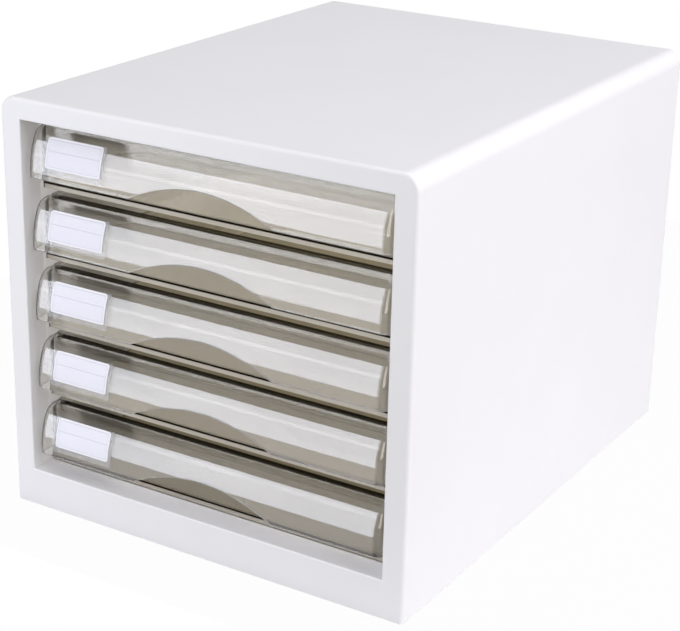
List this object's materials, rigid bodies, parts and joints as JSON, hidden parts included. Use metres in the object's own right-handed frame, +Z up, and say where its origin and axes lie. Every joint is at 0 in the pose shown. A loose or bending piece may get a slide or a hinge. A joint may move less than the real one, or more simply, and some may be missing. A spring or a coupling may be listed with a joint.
{
  "type": "desktop drawer unit",
  "caption": "White desktop drawer cabinet for A4 paper with smoke-tinted pull-out trays, hollow curved fronts with a finger arch, and a label pocket on each front.",
  "frame": {"origin": "on the table, under the middle of the case's width and depth", "axes": "+Z up, -Y towards the user (the drawers open to -Y), +X to the user's right when facing the front"},
  "size_m": [0.267, 0.339, 0.25],
  "materials": {
    "white_plastic": "satin white moulded plastic",
    "smoke_plastic": "polished, transparent smoke tint",
    "clear_film": "polished, clear",
    "label_paper": "matt white paper card",
    "screw_steel": "zinc plated",
    "foot_rubber": "matt"
  },
  "bodies": {
    "cabinet": {"case_shell": "white_plastic", "base_panel": "white_plastic", "back_panel": "white_plastic", "runner_panel_left": "white_plastic", "runner_panel_right": "white_plastic", "back_screws": "screw_steel", "foot_pads": "foot_rubber"},
    "drawer_1": {"drawer_1_tray": "smoke_plastic", "drawer_1_front": "smoke_plastic", "drawer_1_label": "label_paper", "drawer_1_label_pocket": "clear_film"},
    "drawer_2": {"drawer_2_tray": "smoke_plastic", "drawer_2_front": "smoke_plastic", "drawer_2_label": "label_paper", "drawer_2_label_pocket": "clear_film"},
    "drawer_3": {"drawer_3_tray": "smoke_plastic", "drawer_3_front": "smoke_plastic", "drawer_3_label": "label_paper", "drawer_3_label_pocket": "clear_film"},
    "drawer_4": {"drawer_4_tray": "smoke_plastic", "drawer_4_front": "smoke_plastic", "drawer_4_label": "label_paper", "drawer_4_label_pocket": "clear_film"},
    "drawer_5": {"drawer_5_tray": "smoke_plastic", "drawer_5_front": "smoke_plastic", "drawer_5_label": "label_paper", "drawer_5_label_pocket": "clear_film"}
  },
  "joints": [
    {"name": "drawer_1_slide", "type": "slide", "parent": "cabinet", "child": "drawer_1", "axis": [0, -1, 0], "range_m": [0, 0.235]},
    {"name": "drawer_2_slide", "type": "slide", "parent": "cabinet", "child": "drawer_2", "axis": [0, -1, 0], "range_m": [0, 0.235]},
    {"name": "drawer_3_slide", "type": "slide", "parent": "cabinet", "child": "drawer_3", "axis": [0, -1, 0], "range_m": [0, 0.235]},
    {"name": "drawer_4_slide", "type": "slide", "parent": "cabinet", "child": "drawer_4", "axis": [0, -1, 0], "range_m": [0, 0.235]},
    {"name": "drawer_5_slide", "type": "slide", "parent": "cabinet", "child": "drawer_5", "axis": [0, -1, 0], "range_m": [0, 0.235]}
  ]
}
